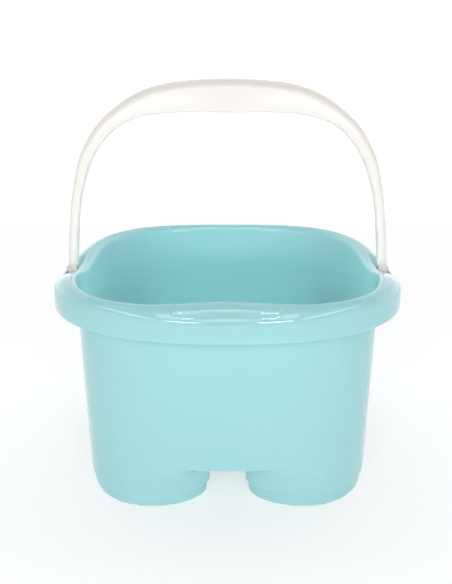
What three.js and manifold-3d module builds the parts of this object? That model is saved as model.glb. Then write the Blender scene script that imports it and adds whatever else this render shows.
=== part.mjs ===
// Foot spa basin: a moulded tub with two foot wells, a folding carry handle and massage rollers.
// Millimetres, +Z up. The origin is on the ground under the middle of the basin.
// The user stands behind -Y: the front of the basin faces -Y.
import * as THREE from 'three';
import { mergeVertices } from 'three/addons/utils/BufferGeometryUtils.js';
import Module from 'manifold-3d';

const wasm = await Module();
wasm.setup();

// ---- Driving dimensions ----
const CREST_HEIGHT = 224.8;
const CREST_HALF_WIDTH = 170.5;
const CREST_HALF_DEPTH = 181;
const CREST_SQUARENESS = 3.2;
const WALL = 2.6;
const WALL_MIDDLE_HEIGHT = 120;
const FLARE_RADIUS = 10;

// outer face of the tub wall, just under the rim and just above the ledge near the ground
const WALL_TOP = { z: 220, halfWidth: 166.3, halfDepth: 178.5, squareness: 3 };
const WALL_FOOT = { z: 15.4, halfWidth: 157.2, halfDepth: 175.8, squareness: 3.9 };
const LEDGE_LOW = 14.4;
const LEDGE_STEP = 2.5;
const SHELL_BOTTOM = 0.8;

// rim: its width at the sides and at the front, and its section, as a share of that width and
// how far below the crest
const RIM_WIDTH_SIDE = 23.9;
const RIM_WIDTH_FRONT = 12.2;
const RIM_OUTER_SQUARENESS = 2.48;
const RIM_SECTION = [
  [0, 0], [0.19, 0.8], [0.385, 2.4], [0.577, 4.7], [0.77, 8.2], [0.904, 12], [0.971, 16.9],
  [0.99, 22.9], [1, 32.5],
];
const SKIRT_STRAIGHTENS = 2.2;
const SKIRT_OPENING = 8;
const ARC_DEGREES = [0, 30, 60, 90];
const MOUTH_CLEARANCE = 4;
const RIM_DIP = 11;
const RIM_DIP_REACH = 100;
const FRONT_HUMP = 4.5;
const FRONT_HUMP_REACH = 85;

// arch between the foot wells
const ARCH_HEIGHT = 40;
const ARCH_EDGE_RADIUS = 18;
const ARCH_HALF_FOOT = 22.8;
const ARCH_HALF_TOP = 20.3;
const WELL_FRONT = 167.3;
const WELL_CORNER_X = 54.8;
const WELL_CORNER_Y = 33.2;
const WELL_CORNER_SQUARENESS = 1.9;
const WELL_CORNER_STEPS = 8;
const WELL_MERGE_HEIGHT = ARCH_HEIGHT + ARCH_EDGE_RADIUS;

// thumb pad on the front rim
const PAD_HALF_WIDTH = 51.5;
const PAD_REACH = 8.5;
const PAD_SQUARENESS = 8;
const PAD_STEPS = 10;
const PAD_PROUD = 0.4;
const PAD_ROOT = 12;
const PAD_CUT_HEIGHT = 36;
const PAD_SET_BACK = 1;

// carry handle
const PIVOT_HEIGHT = 209;
const EYE_RADIUS = 6.5;
const EYE_CLEARANCE = 1;
const ARM_INNER_X = 177;
const ARM_OUTER_X = 187.5;
const PIN_RADIUS = 2.5;
const PIN_HEAD_RADIUS = 4.5;
const PIN_HEAD_THICKNESS = 1.5;
const PIN_SPARE_LENGTH = 0.5;
const PIN_ROOT = 7;
const PIN_HOLE_DEPTH = 8;
const RUNNING_GAP = 0.3;
const POCKET_FLOOR_HALF = 9;
const POCKET_HALF_LENGTH = 40;
const POCKET_END_HEIGHT = 216;
const POCKET_INNER_X = 174.4;
const POCKET_OUTER_X = 190.2;
const POCKET_ROOF = 229.8;
// the block of plastic that the pocket and the pin hole are cut in
const PIVOT_BLOCK = { width: 27.8, depth: 86, height: 30, middle: 178.3, bottom: 198.5 };
const HANDLE_OUTER = [
  [187.5, 209], [182.6, 262], [176.7, 302], [163.4, 346.7], [134.3, 385.5], [82.7, 414.8], [0, 423.5],
];
const HANDLE_INNER = [
  [177, 209], [171.4, 262], [164.2, 302], [148, 342.3], [119.6, 372.7], [75, 386.2], [0, 387.6],
];
const HANDLE_DEPTHS = [11.5, 13, 15, 17, 19, 22, 24];
const HANDLE_STEPS = 48;
const HANDLE_CROWN_STEPS = 6;
const HANDLE_CROWN_SHARE = 0.45;
const HANDLE_HEEL = 2.5;
const HANDLE_HEEL_SHARE = 0.25;

// massage rollers and their trays
const WELL_MIDDLE_X = 92;
const TRAY_WIDTH = 98;
const TRAY_LENGTH = 224;
const TRAY_HEIGHT = 17;
const TRAY_RAIL = 6;
const TRAY_FLOOR = 2;
const DRAIN_SLOT = { width: 68, depth: 5, height: 10 };
const FLOOR_TOP = SHELL_BOTTOM + 3;
const ROLLER_COUNT = 4;
const ROLLER_PITCH = 52;
const ROLLER_RADIUS = 11;
const ROLLER_GROOVE = 1.8;
const ROLLER_RIDGES = 5;
const ROLLER_LENGTH = 84;
const ROLLER_FLOOR_GAP = 1;
const ROLLER_SIDES = 14;
const RIDGE_CROWN = [0.3, 0.7];
const AXLE_RADIUS = 2;
const AXLE_LENGTH = 97;
const AXLE_SIDES = 10;
const AXLE_HEIGHT = FLOOR_TOP + RUNNING_GAP + TRAY_FLOOR + ROLLER_RADIUS + ROLLER_FLOOR_GAP;

// anti-slip pads under the wells
const GRIP_PAD_RADIUS = 15;
const GRIP_PAD_THICKNESS = 1.6;
const GRIP_PAD_Y = 100;
const GRIP_PAD_SIDES = 28;

// a tool that cuts right through a piece stands out this far beyond it
const CUT_THROUGH = 4;
const RING_POINTS = 60;

// ---- Solids ----
function solidFrom(geometry, tolerance = 1e-4) {
  geometry.deleteAttribute('normal');
  geometry.deleteAttribute('uv');
  const merged = mergeVertices(geometry, tolerance);
  const vertProperties = new Float32Array(merged.attributes.position.array);
  const triVerts = new Uint32Array(merged.index.array);
  return new wasm.Manifold(new wasm.Mesh({ numProp: 3, vertProperties, triVerts }));
}

function geometryFrom(solid) {
  const mesh = solid.getMesh();
  const geometry = new THREE.BufferGeometry();
  geometry.setAttribute('position', new THREE.BufferAttribute(new Float32Array(mesh.vertProperties), 3));
  geometry.setIndex(new THREE.BufferAttribute(new Uint32Array(mesh.triVerts), 1));
  return geometry;
}

// Where two surfaces meet at a shallow angle a cut can leave a hair-thin sliver: it is dropped.
// Welding close points frees it, and the second pass drops what the first one freed.
function withoutSlivers(solid) {
  let cleaned = solid;
  for (let pass = 0; pass < 2; pass += 1) {
    const welded = solidFrom(geometryFrom(cleaned).toNonIndexed(), 1e-3);
    cleaned = welded.decompose().sort((a, b) => b.volume() - a.volume())[0];
  }
  return cleaned;
}

// A closed skin over a stack of rings, bottom to top, each a loop of points with the same count.
function loft(rings) {
  const count = rings[0].length;
  const positions = rings.flat().flatMap((point) => [point.x, point.y, point.z]);
  const index = [];
  for (let level = 0; level < rings.length - 1; level += 1) {
    for (let i = 0; i < count; i += 1) {
      const a = level * count + i;
      const b = level * count + ((i + 1) % count);
      index.push(a, b, b + count, a, b + count, a + count);
    }
  }
  for (const [level, flip] of [[0, true], [rings.length - 1, false]]) {
    const centre = rings[level].reduce((sum, point) => sum.add(point), new THREE.Vector3());
    centre.divideScalar(count);
    const middle = positions.length / 3;
    positions.push(centre.x, centre.y, centre.z);
    for (let i = 0; i < count; i += 1) {
      const a = level * count + i;
      const b = level * count + ((i + 1) % count);
      index.push(...(flip ? [b, a, middle] : [a, b, middle]));
    }
  }
  const geometry = new THREE.BufferGeometry();
  geometry.setAttribute('position', new THREE.Float32BufferAttribute(positions, 3));
  geometry.setIndex(index);
  return geometry;
}

function box(width, depth, height, x, y, z) {
  return solidFrom(new THREE.BoxGeometry(width, depth, height).translate(x, y, z));
}

function cylinderAlongX(radius, length, x, y, z, sides = 24) {
  const geometry = new THREE.CylinderGeometry(radius, radius, length, sides);
  return solidFrom(geometry.rotateZ(Math.PI / 2).translate(x, y, z));
}

// ---- Plan outlines ----
function squircle(halfWidth, halfDepth, squareness, z) {
  const ring = [];
  for (let i = 0; i < RING_POINTS; i += 1) {
    const angle = (i / RING_POINTS) * Math.PI * 2;
    const x = Math.cos(angle);
    const y = Math.sin(angle);
    const reach = (Math.abs(x / halfWidth) ** squareness + Math.abs(y / halfDepth) ** squareness);
    const radius = reach ** (-1 / squareness);
    ring.push(new THREE.Vector3(x * radius, y * radius, z));
  }
  return ring;
}

function wallRing(z, inset) {
  const share = THREE.MathUtils.clamp((z - WALL_FOOT.z) / (WALL_TOP.z - WALL_FOOT.z), 0, 1);
  const step = z <= LEDGE_LOW ? LEDGE_STEP : 0;
  return squircle(
    THREE.MathUtils.lerp(WALL_FOOT.halfWidth, WALL_TOP.halfWidth, share) - inset - step,
    THREE.MathUtils.lerp(WALL_FOOT.halfDepth, WALL_TOP.halfDepth, share) - inset - step,
    THREE.MathUtils.lerp(WALL_FOOT.squareness, WALL_TOP.squareness, share),
    z,
  );
}

// The rim sinks gently on both sides, where the handle arms come down.
function dipAt(y) {
  const share = Math.min(1, Math.abs(y) / RIM_DIP_REACH);
  return RIM_DIP * Math.cos((share * Math.PI) / 2) ** 2;
}

// How far the middle of the front crest swells up at x, y.
function humpAt(x, y) {
  const near = Math.min(1, Math.abs(x) / FRONT_HUMP_REACH);
  return y < 0 ? FRONT_HUMP * Math.cos((near * Math.PI) / 2) ** 2 : 0;
}

// Ring on the rim: share of the rim's width out from the crest, and how far below it. The front
// hump fades across the flange, or runs right across it under the thumb pad.
function rimRing(out, below, { lift = 0, inset = 0, underPad = false } = {}) {
  const squareness = THREE.MathUtils.lerp(CREST_SQUARENESS, RIM_OUTER_SQUARENESS, out);
  const halfWidth = CREST_HALF_WIDTH + out * RIM_WIDTH_SIDE - inset;
  const halfDepth = CREST_HALF_DEPTH + out * RIM_WIDTH_FRONT - inset;
  const ring = squircle(halfWidth, halfDepth, squareness, CREST_HEIGHT - below + lift);
  const lowest = RIM_SECTION.at(-1)[1];
  const share = 1 - Math.max(0, below) / lowest;
  const humpShare = underPad ? 1 : (1 - out) ** 2;
  for (const point of ring) {
    const onSide = Math.abs(point.x) > CREST_HALF_WIDTH / 2;
    point.z -= onSide ? dipAt(point.y) * share : 0;
    point.z += humpAt(point.x, point.y) * humpShare * share;
  }
  return ring;
}

// ---- Basin ----
function tubBody(inset) {
  const bottom = ARCH_HEIGHT + inset;
  const radius = ARCH_EDGE_RADIUS - inset;
  const rings = [];
  for (const degrees of ARC_DEGREES) {
    const angle = THREE.MathUtils.degToRad(degrees);
    rings.push(wallRing(bottom + radius * (1 - Math.cos(angle)), inset + radius * (1 - Math.sin(angle))));
  }
  rings.push(wallRing(WALL_MIDDLE_HEIGHT, inset));
  rings.push(wallRing(CREST_HEIGHT - 2 * FLARE_RADIUS, inset));
  return rings;
}

function tubFoot(inset) {
  const floor = SHELL_BOTTOM + (inset > 0 ? FLOOR_TOP - SHELL_BOTTOM : 0);
  const levels = [floor, LEDGE_LOW, WALL_FOOT.z, WELL_MERGE_HEIGHT];
  return solidFrom(loft(levels.map((z) => wallRing(z, inset))));
}

// Outline of one foot well: straight arch side, two large rounded inner corners, open outwards.
function wellRing(z, inset) {
  const share = (z - SHELL_BOTTOM) / (ARCH_HEIGHT - SHELL_BOTTOM);
  const step = z <= LEDGE_LOW ? LEDGE_STEP : 0;
  const inner = THREE.MathUtils.lerp(ARCH_HALF_FOOT, ARCH_HALF_TOP, share) + inset - LEDGE_STEP + step;
  const draft = (z * (WALL_TOP.halfDepth - WALL_FOOT.halfDepth)) / WALL_TOP.z;
  const front = WELL_FRONT + LEDGE_STEP - step + draft - inset;
  const outer = WALL_TOP.halfWidth + CUT_THROUGH;
  const corner = [];
  for (let i = 0; i <= WELL_CORNER_STEPS; i += 1) {
    const angle = (i / WELL_CORNER_STEPS) * (Math.PI / 2);
    const across = Math.cos(angle) ** (2 / WELL_CORNER_SQUARENESS);
    const along = Math.sin(angle) ** (2 / WELL_CORNER_SQUARENESS);
    const x = inner + WELL_CORNER_X * (1 - across);
    corner.push(new THREE.Vector3(x, front - WELL_CORNER_Y * (1 - along), z));
  }
  const nearSide = [new THREE.Vector3(outer, -front, z), new THREE.Vector3(outer, front, z)];
  const otherCorner = corner.map((point) => new THREE.Vector3(point.x, -point.y, z));
  return [...nearSide, ...corner.reverse(), ...otherCorner];
}

function footWell(inset) {
  const floor = SHELL_BOTTOM + (inset > 0 ? FLOOR_TOP - SHELL_BOTTOM : 0);
  const levels = [floor, LEDGE_LOW, WALL_FOOT.z, WELL_MERGE_HEIGHT];
  const right = solidFrom(loft(levels.map((z) => wellRing(z, inset))));
  const both = right.add(right.mirror([1, 0, 0]));
  return both.intersect(tubFoot(inset));
}

function rimSolid(options = {}) {
  const rings = RIM_SECTION.map(([out, below]) => rimRing(out, below, options));
  return solidFrom(loft(rings.reverse()));
}

function rimHollow() {
  const [lastOut, lowest] = RIM_SECTION.at(-1);
  const rings = RIM_SECTION.map(([out, below]) => {
    const slope = below / lowest;
    const inset = WALL * Math.min(1, slope * SKIRT_STRAIGHTENS);
    return rimRing(out, below + WALL * (1 - slope), { inset });
  });
  const open = rimRing(lastOut, lowest + SKIRT_OPENING, { inset: WALL });
  return solidFrom(loft([...rings, open].reverse()));
}

// Rings that curl the top of the wall outwards into the crest of the rim.
function crestFlare(inset) {
  const thickness = WALL - inset;
  const radius = FLARE_RADIUS - thickness;
  const wall = wallRing(CREST_HEIGHT - FLARE_RADIUS, inset);
  const rings = [];
  for (const degrees of ARC_DEGREES) {
    const angle = THREE.MathUtils.degToRad(degrees);
    const crest = rimRing(0, thickness + radius * (1 - Math.sin(angle)));
    const share = 1 - Math.cos(angle);
    rings.push(crest.map((point, i) => new THREE.Vector3(
      THREE.MathUtils.lerp(wall[i].x, point.x, share),
      THREE.MathUtils.lerp(wall[i].y, point.y, share),
      point.z,
    )));
  }
  return rings;
}

function tubCavity() {
  const above = rimRing(0, 0, { lift: FRONT_HUMP + MOUTH_CLEARANCE });
  return solidFrom(loft([...tubBody(WALL), ...crestFlare(WALL), above])).add(footWell(WALL));
}

// Raised pad on the middle of the front rim: its front edge bows out over the flange.
function thumbPad() {
  const crest = -CREST_HALF_DEPTH;
  const shape = new THREE.Shape();
  shape.moveTo(-PAD_HALF_WIDTH, crest + PAD_REACH);
  for (let i = -PAD_STEPS; i <= PAD_STEPS; i += 1) {
    const across = i / PAD_STEPS;
    const reach = PAD_REACH * Math.sqrt(1 - Math.abs(across) ** PAD_SQUARENESS);
    shape.lineTo(PAD_HALF_WIDTH * across, crest + PAD_SET_BACK - reach);
  }
  shape.lineTo(PAD_HALF_WIDTH, crest + PAD_REACH);
  const prism = new THREE.ExtrudeGeometry(shape, { depth: PAD_CUT_HEIGHT, bevelEnabled: false });
  const top = rimSolid({ lift: PAD_PROUD, underPad: true });
  return solidFrom(prism.translate(0, 0, CREST_HEIGHT - PAD_ROOT)).intersect(top);
}

// Block under the rim that holds the handle pin, one on each side.
function pivotBlocks() {
  const { width, depth, height, middle, bottom } = PIVOT_BLOCK;
  const block = box(width, depth, height, middle, 0, bottom + height / 2);
  return block.add(block.mirror([1, 0, 0])).intersect(rimSolid());
}

// Pocket in the rim round the eye of the arm, and the hole for the pin.
function pivotPockets() {
  const width = POCKET_OUTER_X - POCKET_INNER_X;
  const middle = (POCKET_OUTER_X + POCKET_INNER_X) / 2;
  const shape = new THREE.Shape();
  const floor = PIVOT_HEIGHT - EYE_RADIUS - EYE_CLEARANCE;
  shape.moveTo(-POCKET_HALF_LENGTH, POCKET_ROOF);
  shape.lineTo(-POCKET_HALF_LENGTH, POCKET_END_HEIGHT);
  shape.lineTo(-POCKET_FLOOR_HALF, floor);
  shape.lineTo(POCKET_FLOOR_HALF, floor);
  shape.lineTo(POCKET_HALF_LENGTH, POCKET_END_HEIGHT);
  shape.lineTo(POCKET_HALF_LENGTH, POCKET_ROOF);
  const prism = new THREE.ExtrudeGeometry(shape, { depth: width, bevelEnabled: false });
  prism.rotateX(Math.PI / 2);
  prism.rotateZ(Math.PI / 2);
  const pocket = solidFrom(prism.translate(middle - width / 2, 0, 0));
  const holeLength = PIN_HOLE_DEPTH + 1;
  const holeMiddle = POCKET_INNER_X - PIN_HOLE_DEPTH + holeLength / 2;
  const hole = cylinderAlongX(PIN_RADIUS + RUNNING_GAP, holeLength, holeMiddle, 0, PIVOT_HEIGHT);
  const right = pocket.add(hole);
  return right.add(right.mirror([1, 0, 0]));
}

function gripPadPlaces() {
  const places = [];
  for (const [side, x] of [['left', -WELL_MIDDLE_X], ['right', WELL_MIDDLE_X]]) {
    places.push({ name: `grip_pad_${side}_front`, x, y: -GRIP_PAD_Y });
    places.push({ name: `grip_pad_${side}_rear`, x, y: GRIP_PAD_Y });
  }
  return places;
}

function disc(radius, thickness, x, y, bottom) {
  const geometry = new THREE.CylinderGeometry(radius, radius, thickness, GRIP_PAD_SIDES);
  return solidFrom(geometry.rotateX(Math.PI / 2).translate(x, y, bottom + thickness / 2));
}

function basinShell() {
  const body = solidFrom(loft([...tubBody(0), ...crestFlare(0)]));
  const hollow = rimHollow().subtract(body).subtract(pivotBlocks());
  let shell = rimSolid().add(thumbPad()).subtract(hollow);
  shell = shell.add(body).add(footWell(0));
  shell = shell.subtract(tubCavity()).subtract(pivotPockets());
  for (const place of gripPadPlaces()) {
    const recess = GRIP_PAD_THICKNESS + RUNNING_GAP;
    shell = shell.subtract(disc(GRIP_PAD_RADIUS + RUNNING_GAP, recess, place.x, place.y, 0));
  }
  return geometryFrom(withoutSlivers(shell));
}

function gripPad(place) {
  return geometryFrom(disc(GRIP_PAD_RADIUS, GRIP_PAD_THICKNESS, place.x, place.y, 0));
}

// ---- Carry handle ----
function handleSection(outer, inner, depth) {
  const rise = outer.clone().sub(inner);
  const height = rise.length();
  rise.normalize();
  const half = depth / 2;
  const crown = Math.min(half, height * HANDLE_CROWN_SHARE);
  const heel = Math.min(HANDLE_HEEL, height * HANDLE_HEEL_SHARE);
  const profile = [];
  for (let i = 0; i <= HANDLE_CROWN_STEPS; i += 1) {
    const angle = (i / HANDLE_CROWN_STEPS) * Math.PI;
    profile.push([half * Math.cos(angle), height - crown + crown * Math.sin(angle)]);
  }
  profile.push([-half, heel], [-half + heel, 0], [half - heel, 0], [half, heel]);
  return profile.map(([y, up]) => new THREE.Vector3(inner.x + rise.x * up, y, inner.z + rise.z * up));
}

function mirroredCurve(points) {
  const left = points.map(([x, z]) => new THREE.Vector3(-x, 0, z));
  const right = points.slice(0, -1).reverse().map(([x, z]) => new THREE.Vector3(x, 0, z));
  return new THREE.CatmullRomCurve3([...left, ...right]);
}

function carryHandle() {
  const outerCurve = mirroredCurve(HANDLE_OUTER);
  const innerCurve = mirroredCurve(HANDLE_INNER);
  const depths = mirroredCurve(HANDLE_DEPTHS.map((depth, i) => [HANDLE_DEPTHS.length - i, depth]));
  const sections = [];
  for (let i = 0; i <= HANDLE_STEPS; i += 1) {
    const at = i / HANDLE_STEPS;
    sections.push(handleSection(outerCurve.getPoint(at), innerCurve.getPoint(at), depths.getPoint(at).z));
  }
  let handle = solidFrom(loft(sections));
  for (const side of [-1, 1]) {
    const middle = (side * (ARM_INNER_X + ARM_OUTER_X)) / 2;
    const width = ARM_OUTER_X - ARM_INNER_X;
    handle = handle.add(cylinderAlongX(EYE_RADIUS, width, middle, 0, PIVOT_HEIGHT));
    handle = handle.subtract(
      cylinderAlongX(PIN_RADIUS + RUNNING_GAP, width + CUT_THROUGH, middle, 0, PIVOT_HEIGHT),
    );
  }
  return geometryFrom(handle);
}

function pivotPin(side) {
  const inner = POCKET_INNER_X - PIN_ROOT;
  const outer = ARM_OUTER_X + RUNNING_GAP;
  const end = outer + PIN_SPARE_LENGTH;
  const shank = cylinderAlongX(PIN_RADIUS, end - inner, (inner + end) / 2, 0, PIVOT_HEIGHT);
  const head = cylinderAlongX(
    PIN_HEAD_RADIUS, PIN_HEAD_THICKNESS, outer + PIN_HEAD_THICKNESS / 2, 0, PIVOT_HEIGHT,
  );
  const pin = shank.add(head);
  return geometryFrom(side < 0 ? pin.mirror([1, 0, 0]) : pin);
}

// ---- Massage rollers ----
function rollerY(index) {
  return (index - (ROLLER_COUNT - 1) / 2) * ROLLER_PITCH;
}

function roller() {
  const bore = AXLE_RADIUS + RUNNING_GAP;
  const half = ROLLER_LENGTH / 2;
  const profile = [new THREE.Vector2(bore, -half), new THREE.Vector2(ROLLER_RADIUS - ROLLER_GROOVE, -half)];
  const pitch = ROLLER_LENGTH / ROLLER_RIDGES;
  for (let i = 0; i < ROLLER_RIDGES; i += 1) {
    const start = -half + i * pitch;
    profile.push(new THREE.Vector2(ROLLER_RADIUS, start + pitch * RIDGE_CROWN[0]));
    profile.push(new THREE.Vector2(ROLLER_RADIUS, start + pitch * RIDGE_CROWN[1]));
    profile.push(new THREE.Vector2(ROLLER_RADIUS - ROLLER_GROOVE, start + pitch));
  }
  profile.push(new THREE.Vector2(bore, half), new THREE.Vector2(bore, -half));
  return geometryFrom(solidFrom(new THREE.LatheGeometry(profile, ROLLER_SIDES).rotateZ(-Math.PI / 2)));
}

function axle() {
  return geometryFrom(cylinderAlongX(AXLE_RADIUS, AXLE_LENGTH, 0, 0, 0, AXLE_SIDES));
}

function rollerTray() {
  const bottom = FLOOR_TOP + RUNNING_GAP;
  const middle = bottom + TRAY_HEIGHT / 2;
  let tray = box(TRAY_WIDTH, TRAY_LENGTH, TRAY_HEIGHT, 0, 0, middle);
  const well = box(
    TRAY_WIDTH - 2 * TRAY_RAIL, TRAY_LENGTH - 2 * TRAY_RAIL, TRAY_HEIGHT, 0, 0, middle + TRAY_FLOOR,
  );
  tray = tray.subtract(well);
  for (let i = 0; i < ROLLER_COUNT; i += 1) {
    const length = TRAY_WIDTH + CUT_THROUGH;
    const hole = cylinderAlongX(AXLE_RADIUS + RUNNING_GAP, length, 0, rollerY(i), AXLE_HEIGHT, AXLE_SIDES);
    tray = tray.subtract(hole);
  }
  for (let i = 0; i <= ROLLER_COUNT; i += 1) {
    const slotY = rollerY(i) - ROLLER_PITCH / 2;
    tray = tray.subtract(box(DRAIN_SLOT.width, DRAIN_SLOT.depth, DRAIN_SLOT.height, 0, slotY, bottom));
  }
  return geometryFrom(tray);
}

// ---- Materials and assembly ----
const aqua = new THREE.MeshStandardMaterial({ color: 0xaedde3, roughness: 0.28, metalness: 0 });
const white = new THREE.MeshStandardMaterial({ color: 0xf3f0ec, roughness: 0.3, metalness: 0 });
const steel = new THREE.MeshStandardMaterial({ color: 0xb9bcc0, roughness: 0.3, metalness: 1 });
const rubber = new THREE.MeshStandardMaterial({ color: 0x6fb7bd, roughness: 0.8, metalness: 0 });

const footSpa = new THREE.Group();

function place(name, geometry, material, x = 0, y = 0, z = 0, parent = footSpa) {
  geometry.computeVertexNormals();
  const mesh = new THREE.Mesh(geometry, material);
  mesh.name = name;
  mesh.position.set(x, y, z);
  parent.add(mesh);
}

place('basin_shell', basinShell(), aqua);
place('carry_handle', carryHandle(), white);
for (const spot of gripPadPlaces()) {
  place(spot.name, gripPad(spot), rubber);
}
for (const [name, side] of [['left', -1], ['right', 1]]) {
  place(`handle_pin_${name}`, pivotPin(side), steel);
  const well = new THREE.Group();
  well.position.x = side * WELL_MIDDLE_X;
  footSpa.add(well);
  place(`roller_tray_${name}`, rollerTray(), white, 0, 0, 0, well);
  for (let i = 0; i < ROLLER_COUNT; i += 1) {
    place(`roller_axle_${name}_${i + 1}`, axle(), steel, 0, rollerY(i), AXLE_HEIGHT, well);
    place(`massage_roller_${name}_${i + 1}`, roller(), white, 0, rollerY(i), AXLE_HEIGHT, well);
  }
}

export default footSpa;
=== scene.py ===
"""Looks of the foot spa basin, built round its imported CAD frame. Blender 4.5, metres."""
import math

import bmesh
import bpy
import numpy as np
from mathutils import Matrix, Vector


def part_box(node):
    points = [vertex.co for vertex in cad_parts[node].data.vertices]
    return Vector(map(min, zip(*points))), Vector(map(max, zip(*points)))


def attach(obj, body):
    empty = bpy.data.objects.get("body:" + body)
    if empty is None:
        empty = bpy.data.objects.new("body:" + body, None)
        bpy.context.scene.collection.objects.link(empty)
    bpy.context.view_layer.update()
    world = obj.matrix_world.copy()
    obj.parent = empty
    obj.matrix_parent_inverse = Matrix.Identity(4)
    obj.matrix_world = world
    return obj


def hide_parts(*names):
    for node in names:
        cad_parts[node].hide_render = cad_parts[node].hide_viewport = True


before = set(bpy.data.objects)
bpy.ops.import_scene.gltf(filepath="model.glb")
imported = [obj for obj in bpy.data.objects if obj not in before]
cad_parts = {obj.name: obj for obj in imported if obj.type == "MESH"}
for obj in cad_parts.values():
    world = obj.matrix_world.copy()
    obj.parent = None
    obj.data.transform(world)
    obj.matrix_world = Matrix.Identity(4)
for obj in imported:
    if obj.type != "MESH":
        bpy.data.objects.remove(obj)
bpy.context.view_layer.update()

# ---- Driving sizes, in millimetres, as in the CAD model, whose thumb pad is simpler ----
MM = 0.001
CREST_HEIGHT = 224.8
CREST_HALF_WIDTH = 170.5
CREST_HALF_DEPTH = 181.0
CREST_SQUARENESS = 3.2
WALL = 2.6
FLARE_RADIUS = 10.0
WALL_TOP = {"z": 220.0, "half_width": 166.3, "half_depth": 178.5, "squareness": 3.0}
WALL_FOOT = {"z": 15.4, "half_width": 157.2, "half_depth": 175.8, "squareness": 3.9}
LEDGE_HEIGHT = 14.9
LEDGE_STEP = 2.5
LEDGE_SOFTNESS = 0.9
SHELL_BOTTOM = 0.8
FLOOR_TOP = 3.8
RIM_WIDTH_SIDE = 23.9
RIM_WIDTH_FRONT = 12.2
RIM_OUTER_SQUARENESS = 2.48
RIM_SECTION = [
    (0, 0), (0.19, 0.8), (0.385, 2.4), (0.577, 4.7), (0.77, 8.2), (0.904, 12), (0.971, 16.9),
    (0.99, 22.9), (1, 32.5),
]
RIM_LOWEST = RIM_SECTION[-1][1]
RIM_DIP = 11.0
RIM_DIP_REACH = 100.0
FRONT_HUMP = 4.5
FRONT_HUMP_REACH = 85.0
ARCH_HEIGHT = 40.0
ARCH_EDGE_RADIUS = 18.0
ARCH_HALF_FOOT = 22.8
ARCH_HALF_TOP = 20.3
WELL_FRONT = 167.3
WELL_CORNER = (54.8, 33.2)
WELL_CORNER_SQUARENESS = 1.9
PAD_HALF_WIDTH = 51.5
PAD_REACH = 9.0
PAD_END_REACH = 4.5
PAD_SQUARENESS = 5.0
PAD_FLATTER = 0.3
PAD_PROUD = 0.4
PAD_END_FADE = 1.5
PAD_EDGE_FADE = (-0.5, 0.7)
PIVOT_HEIGHT = 209.0
EYE_RADIUS = 6.5
EYE_CLEARANCE = 1.0
EYE_SIDES = 48
POCKET_FLOOR_HALF = 9.0
POCKET_HALF_LENGTH = 40.0
POCKET_END_HEIGHT = 216.0
POCKET_INNER_X = 174.4
POCKET_OUTER_X = 190.2
HANDLE_OUTER = [
    (187.5, 209), (182.6, 262), (176.7, 302), (163.4, 346.7), (134.3, 385.5), (82.7, 414.8), (0, 423.5),
]
HANDLE_INNER = [
    (177, 209), (171.4, 262), (164.2, 302), (148, 342.3), (119.6, 372.7), (75, 386.2), (0, 387.6),
]
HANDLE_DEPTHS = [11.5, 13, 15, 17, 19, 22, 24]
HANDLE_CROWN_SHARE = 0.45
HANDLE_HEEL = 3.0
HANDLE_HEEL_SHARE = 0.28
HANDLE_STEPS = 10
CROWN_STEPS = 17
HEEL_STEPS = 6
ROLLER_COUNT = 4
ROLLER_PITCH = 52.0
ROLLER_RADIUS = 11.0
ROLLER_GROOVE = 1.8
ROLLER_RIDGES = 5
ROLLER_LENGTH = 84.0
ROLLER_BORE = 2.3
ROLLER_NUB = 0.7
ROLLER_NUBS = 10
ROLLER_END_CHAMFER = 1.0
ROLLER_END_MARGIN = 0.6
RIDGE_STEPS = 12
WELL_MIDDLE_X = 92.0
AXLE_RADIUS = 2.0
AXLE_LENGTH = 97.0
AXLE_HEIGHT = 18.1
PIN_RADIUS = 2.5
RUNNING_GAP = 0.3
ROD_BEVEL = 0.4
PIN_HEAD_BEVEL = 0.9
AXIS_RADIUS = 0.001
PIN_HEAD = 1.5
PIN_HEAD_RADIUS = 4.5
TRAY_BEVEL = 0.5
TRAY_BEVEL_DEGREES = 50
GRIP_GROOVES = 4
GRIP_GROOVE_DEPTH = 0.5

# ---- Studio and camera: metres, watts, degrees ----
SKY_STRENGTH = 0.15
KEY_POWER = 15.5
OVERHEAD_POWER = 2.8
INSIDE_POWER = 0.3
FILL_POWER = 2.0
STRIP_POWER = 2.4
FLOOR_GREY = 0.5
FLOOR_GLOW = 0.55
BACKDROP_GLOW = 1.0
BACKDROP_DISTANCE = 1.3
CAMERA_BACK = 0.735
CAMERA_UP = 0.4158
CAMERA_DOWN_DEGREES = 17.79
CAMERA_LENS = 39.76
CAMERA_SHIFT = (-0.0028, 0.0009)

# ---- Detail of the meshes ----
NET_STEP = 2.5
NET_MARGIN = 4.5
NET_BELOW = 1.7
LEDGE_BAND = 2.4
WELL_BLEND = 9.0
WELL_WALL_BLEND = 5.0
FOOT_EDGE_RADIUS = 1.5
FLOOR_EDGE_RADIUS = 6.0
DISTANCE_SCALE = 0.93
TINY = 1e-9
POWER_GUARD = 1e-12
LARGEST_MOVE = 2.0
LEAST_STEEPNESS = 0.05
SEAM_HEIGHT = 63.0
RIM_COLUMNS = 260
POCKET_SPAN = 0.17
POCKET_DENSER = 3.5
PAD_SPAN = 0.34
PAD_DENSER = 2.2
WALL_ROWS = 20
WALL_ROWS_TOP = 200.0
SECTION_POINTS = 40
SKIRT_STRAIGHTENS = 2.2
CURVE_STEPS = 16
EDGE_CURVE = 0.6


# ---- Small mathematics ----
def lerp(a, b, share):
    return a + (b - a) * share


def smooth_step(value, low, high):
    share = np.clip((value - low) / (high - low), 0.0, 1.0)
    return share * share * (3.0 - 2.0 * share)


def soft_min(a, b, radius):
    """The smaller of two distances, with the crease between them rounded to about that radius."""
    share = np.clip(0.5 + 0.5 * (b - a) / radius, 0.0, 1.0)
    return b + (a - b) * share - radius * share * (1.0 - share)


def soft_max(a, b, radius):
    return -soft_min(-a, -b, radius)


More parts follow.
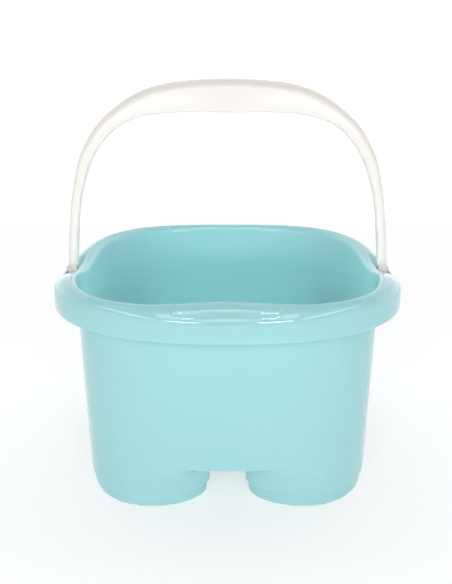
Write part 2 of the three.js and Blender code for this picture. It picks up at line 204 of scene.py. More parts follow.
def squircle_distance(x, y, half_width, half_depth, squareness):
    """Roughly how far a point is outside a rounded rectangle, negative inside."""
    total = np.abs(x / half_width) ** squareness + np.abs(y / half_depth) ** squareness
    value = total ** (1.0 / squareness)
    reach = np.hypot(x, y) / np.maximum(value, 1e-6)
    return (value - 1.0) * reach * DISTANCE_SCALE


def wall_size(z):
    """Half width, half depth and squareness of the tub wall at a height."""
    share = np.clip((z - WALL_FOOT["z"]) / (WALL_TOP["z"] - WALL_FOOT["z"]), 0.0, 1.0)
    measures = ("half_width", "half_depth", "squareness")
    return [lerp(WALL_FOOT[measure], WALL_TOP[measure], share) for measure in measures]


def ledge_inset(z):
    """How far the foot of the tub steps in below the ledge."""
    return LEDGE_STEP * (1.0 - smooth_step(z, LEDGE_HEIGHT - LEDGE_SOFTNESS, LEDGE_HEIGHT + LEDGE_SOFTNESS))


# ---- Lower half of the tub: a smooth surface found from distances ----
def wall_distance(x, y, z, inset):
    half_width, half_depth, squareness = wall_size(z)
    return squircle_distance(x, y, half_width - inset, half_depth - inset, squareness)


def round_max(a, b, radius):
    """The larger of two distances, with their outer edge turned to a round of that radius."""
    corner = np.hypot(np.maximum(a + radius, 0.0), np.maximum(b + radius, 0.0))
    return corner + np.minimum(np.maximum(a, b) + radius, 0.0) - radius


def well_distance(x, y, z, inset, wall):
    """Distance to the foot wells: straight beside the arch, with two large rounded inner corners."""
    step = ledge_inset(z)
    share = np.clip((z - SHELL_BOTTOM) / (ARCH_HEIGHT - SHELL_BOTTOM), 0.0, 2.0)
    inner = lerp(ARCH_HALF_FOOT, ARCH_HALF_TOP, share) + inset - LEDGE_STEP + step
    draft = z * (WALL_TOP["half_depth"] - WALL_FOOT["half_depth"]) / WALL_TOP["z"]
    front = WELL_FRONT + LEDGE_STEP - step + draft - inset
    across = np.maximum(inner + WELL_CORNER[0] - np.abs(x), 0.0) / WELL_CORNER[0]
    along = np.maximum(np.abs(y) - (front - WELL_CORNER[1]), 0.0) / WELL_CORNER[1]
    power = WELL_CORNER_SQUARENESS
    value = (across ** power + along ** power + POWER_GUARD) ** (1.0 / power)
    weight = across ** 2 + TINY
    size = (WELL_CORNER[0] * weight + WELL_CORNER[1] * along ** 2) / (weight + along ** 2)
    outline = soft_max((value - 1.0) * size, wall, WELL_WALL_BLEND)
    if inset == 0:
        return round_max(outline, SHELL_BOTTOM - z, FOOT_EDGE_RADIUS)
    return round_max(outline, FLOOR_TOP - z, FLOOR_EDGE_RADIUS)


def tub_distance(x, y, z, inset):
    """The two wells joined to the round-bottomed tub above the arch, all inside the outer wall."""
    wall = wall_distance(x, y, z, inset + ledge_inset(z))
    well = well_distance(x, y, z, inset, wall)
    body = round_max(wall, ARCH_HEIGHT + inset - z, ARCH_EDGE_RADIUS - inset)
    return np.maximum(wall, soft_min(well, body, WELL_BLEND))


def slope_of(distance, points, step=0.05):
    """Distance and its gradient at each point."""
    x, y, z = points.T
    here = distance(x, y, z)
    gradient = np.stack([
        (distance(x + step, y, z) - here) / step,
        (distance(x, y + step, z) - here) / step,
        (distance(x, y, z + step) - here) / step,
    ], axis=1)
    return here, gradient


def pull_to_surface(distance, points, rounds=3):
    for _ in range(rounds):
        here, gradient = slope_of(distance, points)
        steep = np.maximum((gradient ** 2).sum(axis=1), LEAST_STEEPNESS)
        move = np.clip(here / steep, -LARGEST_MOVE, LARGEST_MOVE)
        points = points - move[:, None] * gradient
    return points


def relax(points, faces, held, rounds=2):
    """Evens out the net: each free point moves halfway to the middle of its neighbours."""
    edges = np.concatenate([faces[:, [0, 1]], faces[:, [1, 2]], faces[:, [2, 3]], faces[:, [3, 0]]])
    for _ in range(rounds):
        total = np.zeros_like(points)
        count = np.zeros(len(points))
        np.add.at(total, edges[:, 0], points[edges[:, 1]])
        np.add.at(total, edges[:, 1], points[edges[:, 0]])
        np.add.at(count, edges[:, 0], 1)
        np.add.at(count, edges[:, 1], 1)
        middle = total / np.maximum(count, 1)[:, None]
        points = np.where(held[:, None], points, lerp(points, middle, 0.5))
    return points


def surface_net(distance, axes):
    """Quads on the zero surface of a distance function on a grid, open where it leaves the grid."""
    x, y, z = np.meshgrid(*axes, indexing="ij")
    value = distance(x, y, z)
    inside = value < 0
    shape = np.array(value.shape) - 1
    total = np.zeros((*shape, 3))
    count = np.zeros(shape)
    quads = []
    grid = np.stack([x, y, z], axis=-1)
    for axis in range(3):
        first = [slice(None)] * 3
        second = [slice(None)] * 3
        first[axis] = slice(0, -1)
        second[axis] = slice(1, None)
        first, second = tuple(first), tuple(second)
        crossing = np.argwhere(inside[first] != inside[second])
        a = tuple(crossing.T)
        ahead = crossing.copy()
        ahead[:, axis] += 1
        b = tuple(ahead.T)
        share = (value[a] / (value[a] - value[b]))[:, None]
        where = lerp(grid[a], grid[b], share)
        others = [k for k in range(3) if k != axis]
        cells = []
        for back_one, back_two in ((0, 0), (1, 0), (1, 1), (0, 1)):
            cell = crossing.copy()
            cell[:, others[0]] -= back_one
            cell[:, others[1]] -= back_two
            cells.append(cell)
            valid = ((cell >= 0) & (cell < shape)).all(axis=1)
            spot = tuple(cell[valid].T)
            np.add.at(total, spot, where[valid])
            np.add.at(count, spot, 1)
        cells = np.stack(cells, axis=1)
        whole = ((cells >= 0) & (cells < shape)).all(axis=(1, 2))
        flip = inside[a] ^ (axis == 1)
        ordered = np.where(flip[:, None, None], cells[:, ::-1], cells)
        quads.append(ordered[whole])
    quads = np.concatenate(quads)
    number = np.full(shape, -1)
    used = count > 0
    number[used] = np.arange(used.sum())
    points = total[used] / count[used][:, None]
    faces = number[quads[..., 0], quads[..., 1], quads[..., 2]]
    return points, faces


def open_edge(points, faces):
    """The points of the one open loop of a net, in order round the Z axis."""
    edges = np.concatenate([faces[:, [0, 1]], faces[:, [1, 2]], faces[:, [2, 3]], faces[:, [3, 0]]])
    key = np.sort(edges, axis=1)
    _, first, count = np.unique(key, axis=0, return_index=True, return_counts=True)
    loop = np.unique(edges[first[count == 1]])
    angle = np.arctan2(points[loop, 1], points[loop, 0])
    return loop[np.argsort(angle)]


def lower_tub(inset):
    """The skin of the tub below the seam, outside (no inset) or inside (inset by the wall)."""
    def distance(x, y, z):
        return tub_distance(x, y, z, inset)

    half_width, half_depth = WALL_TOP["half_width"] + NET_MARGIN, WALL_TOP["half_depth"] + NET_MARGIN
    ledge_low, ledge_high = LEDGE_HEIGHT - LEDGE_BAND, LEDGE_HEIGHT + LEDGE_BAND
    axes = [
        np.arange(-half_width, half_width + NET_STEP, NET_STEP),
        np.arange(-half_depth, half_depth + NET_STEP, NET_STEP),
        np.concatenate([
            np.linspace(SHELL_BOTTOM - NET_BELOW, ledge_low, 7)[:-1],
            np.linspace(ledge_low, ledge_high, 8)[:-1],
            np.linspace(ledge_high, SEAM_HEIGHT, 20),
        ]),
    ]
    points, faces = surface_net(distance, axes)
    used = np.unique(faces)
    renumber = np.full(len(points), -1)
    renumber[used] = np.arange(len(used))
    points, faces = points[used], renumber[faces]
    edge = open_edge(points, faces)
    held = np.zeros(len(points), bool)
    held[edge] = True
    for _ in range(3):
        points = relax(points, faces, held)
        points = pull_to_surface(distance, points)
    return points, faces, edge


def zip_loops(angle_a, angle_b):
    """Triangles between two loops that both run once round the axis, as pairs of (loop, place)."""
    a, b = 0, 0
    count_a, count_b = len(angle_a), len(angle_b)
    turn = 2.0 * math.pi
    triangles = []
    while a < count_a or b < count_b:
        next_a = angle_a[(a + 1) % count_a] + turn * ((a + 1) // count_a)
        next_b = angle_b[(b + 1) % count_b] + turn * ((b + 1) // count_b)
        if b >= count_b or (a < count_a and next_a <= next_b):
            triangles.append((("a", a % count_a), ("a", (a + 1) % count_a), ("b", b % count_b)))
            a += 1
        else:
            triangles.append((("a", a % count_a), ("b", (b + 1) % count_b), ("b", b % count_b)))
            b += 1
    return triangles


# ---- Upper half of the tub: one section carried round the rim ----
def column_angles():
    """Angles round the rim, closer together at the handle pockets and at the thumb pad."""
    def density(angle):
        pocket = np.exp(-((np.abs(np.sin(angle)) / POCKET_SPAN) ** 4))
        pad = np.exp(-(((angle + math.pi / 2) / PAD_SPAN) ** 6))
        return 1.0 + POCKET_DENSER * pocket + PAD_DENSER * pad

    fine = np.linspace(-math.pi, math.pi, 4001)
    weight = density(fine)
    total = np.concatenate([[0.0], np.cumsum((weight[1:] + weight[:-1]) / 2)])
    wanted = np.linspace(0.0, total[-1], RIM_COLUMNS + 1)[:-1]
    return np.interp(wanted, total, fine)


def squircle_points(angle, half_width, half_depth, squareness):
    x, y = np.cos(angle), np.sin(angle)
    total = np.abs(x / half_width) ** squareness + np.abs(y / half_depth) ** squareness
    reach = total ** (-1.0 / squareness)
    return x * reach, y * reach


def through(points, count):
    """A smooth curve through points, as evenly spread points of it."""
    source = [Vector((x, y, 0)) for x, y in points]
    padded = [source[0] * 2 - source[1], *source, source[-1] * 2 - source[-2]]
    curve = []
    for i in range(len(source) - 1):
        a, b, c, d = padded[i:i + 4]
        for k in range(CURVE_STEPS):
            t = k / CURVE_STEPS
            curve.append(0.5 * (2 * b + (c - a) * t + (2 * a - 5 * b + 4 * c - d) * t * t
                                + (3 * b - a - 3 * c + d) * t ** 3))
    curve.append(source[-1])
    xs = np.array([point.x for point in curve])
    ys = np.array([point.y for point in curve])
    along = np.concatenate([[0.0], np.cumsum(np.hypot(np.diff(xs) * RIM_WIDTH_SIDE, np.diff(ys)))])
    wanted = np.linspace(0, along[-1], count)
    return list(zip(np.interp(wanted, along, xs), np.interp(wanted, along, ys)))


def rim_point(angle, out, below, inset=0.0, lift=0.0):
    """A ring on the rim: share of its width out from the crest, and how far below the crest."""
    squareness = lerp(CREST_SQUARENESS, RIM_OUTER_SQUARENESS, out)
    half_width = CREST_HALF_WIDTH + out * RIM_WIDTH_SIDE - inset
    half_depth = CREST_HALF_DEPTH + out * RIM_WIDTH_FRONT - inset
    x, y = squircle_points(angle, half_width, half_depth, squareness)
    share = 1.0 - max(0.0, below) / RIM_LOWEST
    near = np.minimum(1.0, np.abs(y) / RIM_DIP_REACH)
    dip = RIM_DIP * np.cos(near * math.pi / 2) ** 2 * share
    z = CREST_HEIGHT - below - np.where(np.abs(x) > CREST_HALF_WIDTH / 2, dip, 0.0)
    return x, y, z + lift


def front_hump(x, y):
    """How far the middle of the front crest swells up."""
    near = np.minimum(1.0, np.abs(x) / FRONT_HUMP_REACH)
    return np.where(y < 0, FRONT_HUMP * np.cos(near * math.pi / 2) ** 2, 0.0)


def pad_cover(x, y):
    """1 on the thumb pad, 0 off it, with a short steep edge between."""
    across = np.clip(1.0 - np.abs(x / PAD_HALF_WIDTH) ** PAD_SQUARENESS, 0.0, 1.0)
    edge = CREST_HALF_DEPTH + lerp(PAD_END_REACH, PAD_REACH, np.sqrt(across))
    ends = smooth_step(PAD_HALF_WIDTH - np.abs(x), 0.0, PAD_END_FADE)
    return np.where(y < 0, smooth_step(edge + y, *PAD_EDGE_FADE) * ends, 0.0)


def front_lift(x, y, out, below):
    """The swelling of the front crest, carried right across the flange under the thumb pad."""
    share = 1.0 - max(0.0, below) / RIM_LOWEST
    swell = front_hump(x, y) * share
    faded = swell * (1.0 - out) ** 2
    return lerp(faded, swell + PAD_PROUD + PAD_FLATTER * below, pad_cover(x, y) if out > 0 else 0.0)


def pocket_drop(x, y, z):
    """How far the pocket under the handle eye sinks the rim."""
    floor = PIVOT_HEIGHT - EYE_RADIUS - EYE_CLEARANCE
    slope = (POCKET_END_HEIGHT - floor) / (POCKET_HALF_LENGTH - POCKET_FLOOR_HALF)
    bottom = floor + np.maximum(np.abs(y) - POCKET_FLOOR_HALF, 0.0) * slope
    past_inner = smooth_step(np.abs(x), POCKET_INNER_X - 0.7, POCKET_INNER_X + 0.9)
    past_outer = smooth_step(np.abs(x), POCKET_OUTER_X - 0.6, POCKET_OUTER_X + 1.0)
    return np.maximum(z - bottom, 0.0) * past_inner * (1.0 - past_outer)


def shell_rows(angle):
    """Rows of points from the seam on the inner wall, over the rim, to the seam on the outer wall."""
    rows = []

    def wall_row(z, inset):
        half_width, half_depth, squareness = wall_size(z)
        x, y = squircle_points(angle, half_width - inset, half_depth - inset, squareness)
        return x, y, np.full_like(x, z)

    def flare_rows(inset, steps):
        thickness = WALL - inset
        radius = FLARE_RADIUS - thickness
        base = wall_row(CREST_HEIGHT - FLARE_RADIUS, inset)
        made = []
        for degrees in steps:
            turn = math.radians(degrees)
            below = thickness + radius * (1.0 - math.sin(turn))
            crest = rim_point(angle, 0.0, below)
            share = 1.0 - math.cos(turn)
            x, y = lerp(base[0], crest[0], share), lerp(base[1], crest[1], share)
            made.append((x, y, crest[2] + front_lift(x, y, 0.0, below)))
        return made

    for z in np.linspace(SEAM_HEIGHT, WALL_ROWS_TOP, WALL_ROWS):
        rows.append(wall_row(z, WALL))
    rows.extend(flare_rows(WALL, range(0, 90, 9)))
    section = through(RIM_SECTION, SECTION_POINTS)
    for out, below in section:
        x, y, z = rim_point(angle, out, below)
        z = z + front_lift(x, y, out, below)
        rows.append((x, y, z - pocket_drop(x, y, z)))
    for part in (0.25, 0.5, 0.75):
        lift = -EDGE_CURVE * math.sin(part * math.pi)
        rows.append(rim_point(angle, 1.0, RIM_LOWEST, inset=WALL * part, lift=lift))
    for out, below in section[::-2]:
        slope = below / RIM_LOWEST
        if slope < 0.8:
            inset = WALL * min(1.0, slope * SKIRT_STRAIGHTENS)
            x, y, z = rim_point(angle, out, below + WALL * (1.0 - slope), inset=inset)
            top_x, top_y, top_z = rim_point(angle, out, below)
            drop = pocket_drop(top_x, top_y, top_z)
            rows.append((x, y, z + front_lift(x, y, out, below) - drop))
    rows.extend(flare_rows(0.0, range(80, -1, -16)))
    for z in np.linspace(WALL_ROWS_TOP, SEAM_HEIGHT, WALL_ROWS):
        rows.append(wall_row(z, 0.0))
    return rows


def basin_mesh():
    """Points and faces of the whole tub: the rim grid and both lower skins, zipped at the seam."""
    angle = column_angles()
    rows = shell_rows(angle)
    grid = np.stack([np.stack(row, axis=1) for row in rows])
    count_rows, columns = grid.shape[:2]
    points = [grid.reshape(-1, 3)]
    faces = []
    for row in range(count_rows - 1):
        for i in range(columns):
            j = (i + 1) % columns
            a, b = row * columns + i, row * columns + j
            faces.append((a, a + columns, b + columns, b))
    base = count_rows * columns
    for inset, ring_row, inner in ((WALL, 0, True), (0.0, count_rows - 1, False)):
        net_points, net_faces, edge = lower_tub(inset)
        order = net_faces[:, ::-1] if inner else net_faces
        faces.extend(tuple(int(n) + base for n in face) for face in order)
        net_angle = np.arctan2(net_points[edge, 1], net_points[edge, 0])
        for corners in zip_loops(angle, net_angle):
            ids = []
            for loop, spot in corners:
                ids.append(ring_row * columns + spot if loop == "a" else base + int(edge[spot]))
            faces.append(tuple(ids if not inner else ids[::-1]))
        points.append(net_points)
        base += len(net_points)
    return np.concatenate(points) * MM, faces


def tub_normals(mesh):
    """Exact surface directions for the lower tub, so that it shades without facets."""
    count = len(mesh.vertices)
    points = np.empty(count * 3)
    mesh.vertices.foreach_get("co", points)
    normals = np.empty(count * 3)
    mesh.vertices.foreach_get("normal", normals)
    points = points.reshape(-1, 3) / MM
    normals = normals.reshape(-1, 3)
    for inset, sign in ((0.0, 1.0), (WALL, -1.0)):
        def distance(x, y, z):
            return tub_distance(x, y, z, inset)

        low = np.where(points[:, 2] < WALL_ROWS_TOP - 5.0)[0]
        here, gradient = slope_of(distance, points[low])
        length = np.sqrt((gradient ** 2).sum(axis=1))
        on = (np.abs(here) < 0.25) & (length > 0.3)
        direction = sign * gradient[on] / length[on][:, None]
        agree = (direction * normals[low[on]]).sum(axis=1) > 0.6
        normals[low[on][agree]] = direction[agree]
    mesh.normals_split_custom_set_from_vertices(normals)


def mesh_object(name, points, faces):
    mesh = bpy.data.meshes.new(name)
    mesh.from_pydata([tuple(point) for point in points], [], faces)
    bm = bmesh.new()
    bm.from_mesh(mesh)
    bmesh.ops.remove_doubles(bm, verts=bm.verts, dist=1e-6)
    bmesh.ops.recalc_face_normals(bm, faces=bm.faces)
    for face in bm.faces:
        face.smooth = True
    bm.to_mesh(mesh)
    bm.free()
    obj = bpy.data.objects.new(name, mesh)
    bpy.context.collection.objects.link(obj)
    return obj


# ---- Materials ----
def plastic(name, colour, deep, roughness, subsurface=0.0, grain=0.012):
    """Moulded plastic: faint flow in its colour, soft handling haze, and a fine skin texture."""
    material = bpy.data.materials.new(name)
    material.use_nodes = True
    nodes, links = material.node_tree.nodes, material.node_tree.links
    shader = nodes["Principled BSDF"]
    place = nodes.new("ShaderNodeTexCoord")
    flow = nodes.new("ShaderNodeTexNoise")
    flow.inputs["Scale"].default_value = 9.0
    flow.inputs["Detail"].default_value = 3.0
    flow.inputs["Distortion"].default_value = 0.6
    links.new(place.outputs["Object"], flow.inputs["Vector"])
    tint = nodes.new("ShaderNodeMix")
    tint.data_type = "RGBA"
    tint.inputs["A"].default_value = (*deep, 1.0)
    tint.inputs["B"].default_value = (*colour, 1.0)
    spread = nodes.new("ShaderNodeMapRange")
    spread.inputs["From Min"].default_value = 0.3
    spread.inputs["From Max"].default_value = 0.7
    spread.inputs["To Min"].default_value = 0.55
    links.new(flow.outputs["Fac"], spread.inputs["Value"])
    links.new(spread.outputs["Result"], tint.inputs["Factor"])
    links.new(tint.outputs["Result"], shader.inputs["Base Color"])
    haze = nodes.new("ShaderNodeTexNoise")
    haze.inputs["Scale"].default_value = 38.0
    haze.inputs["Detail"].default_value = 4.0
    links.new(place.outputs["Object"], haze.inputs["Vector"])
    gloss = nodes.new("ShaderNodeMapRange")
    gloss.inputs["To Min"].default_value = roughness - 0.01
    gloss.inputs["To Max"].default_value = roughness + 0.03
    links.new(haze.outputs["Fac"], gloss.inputs["Value"])
    links.new(gloss.outputs["Result"], shader.inputs["Roughness"])
    skin = nodes.new("ShaderNodeTexNoise")
    skin.inputs["Scale"].default_value = 420.0
    skin.inputs["Detail"].default_value = 2.0
    links.new(place.outputs["Object"], skin.inputs["Vector"])
    bump = nodes.new("ShaderNodeBump")
    bump.inputs["Strength"].default_value = 0.12
    bump.inputs["Distance"].default_value = grain * MM
    links.new(skin.outputs["Fac"], bump.inputs["Height"])
    links.new(bump.outputs["Normal"], shader.inputs["Normal"])
    shader.inputs["IOR"].default_value = 1.49
    shader.inputs["Subsurface Weight"].default_value = subsurface
    shader.inputs["Subsurface Radius"].default_value = (0.6, 1.0, 1.0)
    shader.inputs["Subsurface Scale"].default_value = 0.006
    return material


def brushed_steel():
    material = bpy.data.materials.new("stainless_steel")
    material.use_nodes = True
    nodes, links = material.node_tree.nodes, material.node_tree.links
    shader = nodes["Principled BSDF"]
    shader.inputs["Metallic"].default_value = 1.0
    place = nodes.new("ShaderNodeTexCoord")
    stretch = nodes.new("ShaderNodeMapping")
    stretch.inputs["Scale"].default_value = (40.0, 1400.0, 1400.0)
    links.new(place.outputs["Object"], stretch.inputs["Vector"])
    lines = nodes.new("ShaderNodeTexNoise")
    lines.inputs["Scale"].default_value = 1.0
    lines.inputs["Detail"].default_value = 3.0
    links.new(stretch.outputs["Vector"], lines.inputs["Vector"])
    tint = nodes.new("ShaderNodeMix")
    tint.data_type = "RGBA"
    tint.inputs["A"].default_value = (0.48, 0.49, 0.51, 1.0)
    tint.inputs["B"].default_value = (0.66, 0.67, 0.69, 1.0)
    links.new(lines.outputs["Fac"], tint.inputs["Factor"])
    links.new(tint.outputs["Result"], shader.inputs["Base Color"])
    gloss = nodes.new("ShaderNodeMapRange")
    gloss.inputs["To Min"].default_value = 0.2
    gloss.inputs["To Max"].default_value = 0.38
    links.new(lines.outputs["Fac"], gloss.inputs["Value"])
    links.new(gloss.outputs["Result"], shader.inputs["Roughness"])
    return material


def soft_rubber():
    material = plastic("soft_rubber", (0.20, 0.44, 0.46), (0.17, 0.38, 0.40), 0.72, grain=0.05)
    material.node_tree.nodes["Principled BSDF"].inputs["Specular IOR Level"].default_value = 0.3
    return material


AQUA = plastic("turquoise_plastic", (0.325, 0.605, 0.630), (0.310, 0.590, 0.615), 0.06, subsurface=0.4)
WHITE = plastic("white_plastic", (0.79, 0.755, 0.72), (0.77, 0.735, 0.70), 0.22, subsurface=0.1)
TRAY_WHITE = plastic("tray_plastic", (0.80, 0.83, 0.82), (0.77, 0.80, 0.79), 0.38)
ROLLER_AQUA = plastic("roller_plastic", (0.26, 0.60, 0.66), (0.24, 0.57, 0.63), 0.33)
STEEL = brushed_steel()
RUBBER = soft_rubber()


def finish_piece(obj, body, material, slot_name, *nodes):
    obj.data.materials.clear()
    obj.data.materials.append(material)
    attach(obj, body)
    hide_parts(*nodes)


# ---- Basin ----
def make_basin():
    points, faces = basin_mesh()
    basin = mesh_object("basin_tub", points, faces)
    tub_normals(basin.data)
    finish_piece(basin, "root", AQUA, "basin_plastic", "basin_shell")
    return basin


# ---- Handle ----
def handle_section(outer, inner, depth):
    """Section of the handle: rounded crown, flat front and back, soft lower corners."""
    rise = np.array(outer) - np.array(inner)
    height = np.hypot(*rise)
    rise = rise / height
    half = depth / 2
    crown = min(half, height * HANDLE_CROWN_SHARE)
    heel = min(HANDLE_HEEL, height * HANDLE_HEEL_SHARE)
    profile = []
    for degrees in np.linspace(0, 180, CROWN_STEPS):
        turn = math.radians(degrees)
        profile.append((half * math.cos(turn), height - crown + crown * math.sin(turn)))
    for degrees in np.linspace(180, 270, HEEL_STEPS):
        turn = math.radians(degrees)
        profile.append((-half + heel + heel * math.cos(turn), heel + heel * math.sin(turn)))
    for degrees in np.linspace(270, 360, HEEL_STEPS):
        turn = math.radians(degrees)
        profile.append((half - heel + heel * math.cos(turn), heel + heel * math.sin(turn)))
    return [(inner[0] + rise[0] * up, y, inner[1] + rise[1] * up) for y, up in profile]


def mirrored(points):
    """The curve from its left end, over the middle, to its right end."""
    return [(-x, z) for x, z in points] + [(x, z) for x, z in points[-2::-1]]


def curve_points(points, steps):
    """Points of a smooth curve through the given ones, the same number between each two."""
    source = [Vector((x, z, 0)) for x, z in points]
    padded = [source[0] * 2 - source[1], *source, source[-1] * 2 - source[-2]]
    made = []
    for i in range(len(source) - 1):
        a, b, c, d = padded[i:i + 4]
        for k in range(steps):
            t = k / steps
            point = 0.5 * (2 * b + (c - a) * t + (2 * a - 5 * b + 4 * c - d) * t * t
                           + (3 * b - a - 3 * c + d) * t ** 3)
            made.append((point.x, point.y))
    made.append((source[-1].x, source[-1].y))
    return made


def cylinder_x(name, radius, low, high, z):
    """A cylinder along X between low and high, at that height and in the middle plane."""
    bm = bmesh.new()
    turn = Matrix.Rotation(math.pi / 2, 4, "Y")
    move = Matrix.Translation(Vector(((low + high) / 2, 0, z)) * MM)
    bmesh.ops.create_cone(
        bm, cap_ends=True, segments=EYE_SIDES, radius1=radius * MM, radius2=radius * MM,
        depth=(high - low) * MM, matrix=move @ turn,
    )
    mesh = bpy.data.meshes.new(name)
    bm.to_mesh(mesh)
    bm.free()
    obj = bpy.data.objects.new(name, mesh)
    bpy.context.collection.objects.link(obj)
    return obj


def join_or_cut(obj, tool, operation):
    change = obj.modifiers.new("solid", "BOOLEAN")
    change.operation = operation
    change.object = tool
    change.solver = "EXACT"
    apply_modifiers(obj)
    bpy.data.objects.remove(tool)


def apply_modifiers(obj):
    graph = bpy.context.evaluated_depsgraph_get()
    mesh = bpy.data.meshes.new_from_object(obj.evaluated_get(graph))
    obj.modifiers.clear()
    obj.data = mesh


def smooth_by_angle(obj, degrees=35):
    for polygon in obj.data.polygons:
        polygon.use_smooth = True
    obj.data.set_sharp_from_angle(angle=math.radians(degrees))


def make_handle():
    outer = curve_points(mirrored(HANDLE_OUTER), HANDLE_STEPS)
    inner = curve_points(mirrored(HANDLE_INNER), HANDLE_STEPS)
    depths = curve_points(list(enumerate(HANDLE_DEPTHS + HANDLE_DEPTHS[-2::-1])), HANDLE_STEPS)
    sections = [handle_section(o, i, depth) for o, i, (_, depth) in zip(outer, inner, depths)]
    count = len(sections[0])
    points = np.array(sections).reshape(-1, 3) * MM
    faces = []
    for row in range(len(sections) - 1):
        for i in range(count):
            j = (i + 1) % count
            here, ahead = row * count, (row + 1) * count
            faces.append((here + i, here + j, ahead + j, ahead + i))
    faces.append(tuple(range(count)))
    faces.append(tuple(range((len(sections) - 1) * count, len(sections) * count))[::-1])
    handle = mesh_object("carry_bail", points, faces)
    for side in (-1, 1):
        low, high = sorted((side * HANDLE_INNER[0][0], side * HANDLE_OUTER[0][0]))
        join_or_cut(handle, cylinder_x("eye", EYE_RADIUS, low, high, PIVOT_HEIGHT), "UNION")
        bore = cylinder_x("bore", PIN_RADIUS + RUNNING_GAP, low - 2, high + 2, PIVOT_HEIGHT)
        join_or_cut(handle, bore, "DIFFERENCE")
    smooth_by_angle(handle)
    finish_piece(handle, "handle", WHITE, "handle_plastic", "carry_handle")


# ---- Rollers, axles, pins and pads ----
def lathe(name, profile, centre, turned=True, sides=64, swell=None):
    """A solid turned from (along, radius) points, round X, or round Z when turned is False."""
    turn = np.linspace(0.0, 2.0 * math.pi, sides, endpoint=False)
    points, faces = [], []
    for along, radius in profile:
        extra = swell(along, turn) if swell else 0.0
        reach = radius + extra * (radius > 6.0)
        across, up = reach * np.cos(turn), reach * np.sin(turn)
        level = np.full_like(turn, along)
        ring = (level, across, up) if turned else (across, up, level)
        points.append(np.stack(ring, axis=1) + np.array(centre))
    rows = len(profile)
    for row in range(rows):
        ahead = (row + 1) % rows
        for i in range(sides):
            j = (i + 1) % sides
            faces.append((row * sides + i, row * sides + j, ahead * sides + j, ahead * sides + i))
    piece = mesh_object(name, np.concatenate(points) * MM, faces)
    smooth_by_angle(piece, 40)
    return piece


def rounded_end(along, radius, bevel, direction):
    """Profile points round the edge of a turned end, from its axis outwards."""
    made = [(along, AXIS_RADIUS)]
    for degrees in range(0, 91, 18):
        turn = math.radians(degrees)
        edge = along - direction * bevel * (1 - math.cos(turn))
        made.append((edge, radius - bevel * (1 - math.sin(turn))))
    return made


def rod_profile(low, high, radius, bevel):
    return rounded_end(low, radius, bevel, -1) + rounded_end(high, radius, bevel, 1)[::-1]


def roller_profile():
    half = ROLLER_LENGTH / 2
    end_radius = ROLLER_RADIUS - ROLLER_GROOVE - ROLLER_END_CHAMFER
    steps = ROLLER_RIDGES * RIDGE_STEPS
    profile = [(-half, ROLLER_BORE), (-half, end_radius)]
    for step in range(steps + 1):
        along = -half + ROLLER_END_MARGIN + (ROLLER_LENGTH - 2 * ROLLER_END_MARGIN) * step / steps
        wave = abs(math.sin(math.pi * (along + half) * ROLLER_RIDGES / ROLLER_LENGTH)) ** 0.7
        profile.append((along, ROLLER_RADIUS - ROLLER_NUB - ROLLER_GROOVE * (1 - wave)))
    profile.append((half, end_radius))
    profile.append((half, ROLLER_BORE))
    return profile


def roller_nubs(along, turn):
    """Small kneading bumps round the crown of each ridge."""
    place = (along + ROLLER_LENGTH / 2) * ROLLER_RIDGES / ROLLER_LENGTH % 1.0
    crown = math.exp(-((place - 0.5) / 0.2) ** 2)
    return ROLLER_NUB * crown * np.maximum(0.0, np.cos(turn * ROLLER_NUBS)) ** 0.6


def make_rollers():
    for side, x in (("left", -WELL_MIDDLE_X), ("right", WELL_MIDDLE_X)):
        for number in range(1, ROLLER_COUNT + 1):
            y = (number - (ROLLER_COUNT + 1) / 2) * ROLLER_PITCH
            centre = (x, y, AXLE_HEIGHT)
            roller = lathe(
                f"roller_{side}_{number}_ridged", roller_profile(), centre, sides=120, swell=roller_nubs,
            )
            finish_piece(
                roller, f"roller_{side}_{number}", ROLLER_AQUA, "roller_plastic",
                f"massage_roller_{side}_{number}",
            )
            rod = rod_profile(-AXLE_LENGTH / 2, AXLE_LENGTH / 2, AXLE_RADIUS, ROD_BEVEL)
            axle = lathe(f"axle_{side}_{number}", rod, centre)
            finish_piece(axle, "root", STEEL, "pin_steel", f"roller_axle_{side}_{number}")


def make_pins():
    for side, sign in (("left", -1), ("right", 1)):
        low, high = (corner * 1000 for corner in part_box(f"handle_pin_{side}"))
        inner, outer = sorted((abs(low.x), abs(high.x)))
        shoulder = outer - PIN_HEAD
        profile = rounded_end(inner, PIN_RADIUS, ROD_BEVEL, -1) + [(shoulder, PIN_RADIUS)]
        head = rounded_end(outer, PIN_HEAD_RADIUS, PIN_HEAD_BEVEL, 1)
        profile += [(shoulder, PIN_HEAD_RADIUS)] + head[:0:-1] + [(outer, AXIS_RADIUS)]
        placed = [(sign * along, radius) for along, radius in profile]
        pin = lathe(f"pivot_pin_{side}", placed, (0, 0, PIVOT_HEIGHT))
        finish_piece(pin, "root", STEEL, "pin_steel", f"handle_pin_{side}")


def make_grip_pads():
    for side in ("left", "right"):
        for end in ("front", "rear"):
            node = f"grip_pad_{side}_{end}"
            low, high = (corner * 1000 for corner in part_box(node))
            middle = (low + high) / 2
            radius = (high.x - low.x) / 2
            groove = low.z + GRIP_GROOVE_DEPTH
            profile = [(high.z, AXIS_RADIUS), (high.z, radius), (groove, radius), (low.z, radius - 0.5)]
            for ring in range(GRIP_GROOVES, 0, -1):
                reach = radius * ring / (GRIP_GROOVES + 0.6)
                profile += [(low.z, reach + 0.9), (groove, reach + 0.5)]
                profile += [(groove, reach - 0.5), (low.z, reach - 0.9)]
            profile += [(low.z, AXIS_RADIUS)]
            pad = lathe(f"rubber_foot_{side}_{end}", profile, (middle.x, middle.y, 0), turned=False)
            finish_piece(pad, "root", RUBBER, "grip_rubber", node)


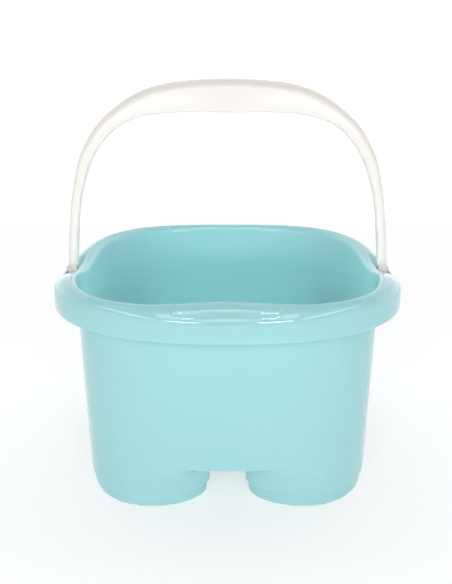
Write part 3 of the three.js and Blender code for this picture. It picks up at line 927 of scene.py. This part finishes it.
def soften_trays():
    """Rounds the sharp edges of the carried-over tray mouldings."""
    for side in ("left", "right"):
        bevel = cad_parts[f"roller_tray_{side}"].modifiers.new("soft_edges", "BEVEL")
        bevel.width = TRAY_BEVEL * MM
        bevel.segments = 3
        bevel.limit_method = "ANGLE"
        bevel.angle_limit = math.radians(TRAY_BEVEL_DEGREES)


# ---- Floor, light and camera ----
def stage_plane(name, place, turn, grey, glow):
    bpy.ops.mesh.primitive_plane_add(size=14, location=place, rotation=(turn, 0, 0))
    plane = bpy.context.object
    plane.name = name
    material = bpy.data.materials.new(name)
    material.use_nodes = True
    shader = material.node_tree.nodes["Principled BSDF"]
    shader.inputs["Base Color"].default_value = (grey, grey, grey, 1)
    shader.inputs["Roughness"].default_value = 0.95
    shader.inputs["Specular IOR Level"].default_value = 0.1
    shader.inputs["Emission Color"].default_value = (1, 1, 1, 1)
    shader.inputs["Emission Strength"].default_value = glow
    plane.data.materials.append(material)


def soft_box(name, place, aim, size, power):
    data = bpy.data.lights.new(name, "AREA")
    data.shape = "RECTANGLE"
    data.size, data.size_y = size
    data.energy = power
    light = bpy.data.objects.new(name, data)
    light.location = place
    light.rotation_euler = (Vector(aim) - Vector(place)).to_track_quat("-Z", "Y").to_euler()
    bpy.context.collection.objects.link(light)
    return light


def make_light():
    world = bpy.data.worlds.new("studio")
    world.use_nodes = True
    world.node_tree.nodes["Background"].inputs["Color"].default_value = (1, 1, 1, 1)
    world.node_tree.nodes["Background"].inputs["Strength"].default_value = SKY_STRENGTH
    bpy.context.scene.world = world
    rim = (0, -0.18, 0.21)
    middle = (0, 0, 0.15)
    soft_box("overhead_softbox", (0, 0.15, 1.7), (0, 0, 0.1), (1.5, 1.5), OVERHEAD_POWER)
    soft_box("key_softbox", (0, -1.9, 1.2), middle, (1.9, 0.7), KEY_POWER)
    # a small light behind the front rim, so that the inner walls do not sink into shade
    inside = soft_box("inside_softbox", (0, -0.13, 0.18), (0, 0.18, 0.14), (0.2, 0.03), INSIDE_POWER)
    inside.visible_camera = False
    inside.visible_glossy = False
    for side in (-1, 1):
        soft_box("strip_softbox", (side * 0.38, -1.4, 0.38), rim, (0.37, 0.09), STRIP_POWER)
        soft_box("fill_softbox", (side * 1.04, -0.93, 0.42), rim, (1.0, 0.12), FILL_POWER)


def make_camera():
    data = bpy.data.cameras.new("camera")
    data.lens = CAMERA_LENS
    data.sensor_width = 36
    data.shift_x, data.shift_y = CAMERA_SHIFT
    camera = bpy.data.objects.new("camera", data)
    camera.location = (0, -CAMERA_BACK, CAMERA_UP)
    camera.rotation_euler = (math.radians(90 - CAMERA_DOWN_DEGREES), 0, 0)
    bpy.context.collection.objects.link(camera)
    bpy.context.scene.camera = camera


def dress_frame():
    """Materials for the CAD pieces that stay as they are: the two roller trays."""
    for side in ("left", "right"):
        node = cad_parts[f"roller_tray_{side}"]
        node.data.materials.clear()
        node.data.materials.append(TRAY_WHITE)


bpy.context.scene.view_settings.view_transform = "Standard"
make_camera()
stage_plane("floor", (0, 0, 0), 0.0, FLOOR_GREY, FLOOR_GLOW)
stage_plane("backdrop", (0, BACKDROP_DISTANCE, 0), math.pi / 2, FLOOR_GREY, BACKDROP_GLOW)
make_light()
dress_frame()
make_basin()
make_handle()
make_rollers()
make_pins()
make_grip_pads()
soften_trays()
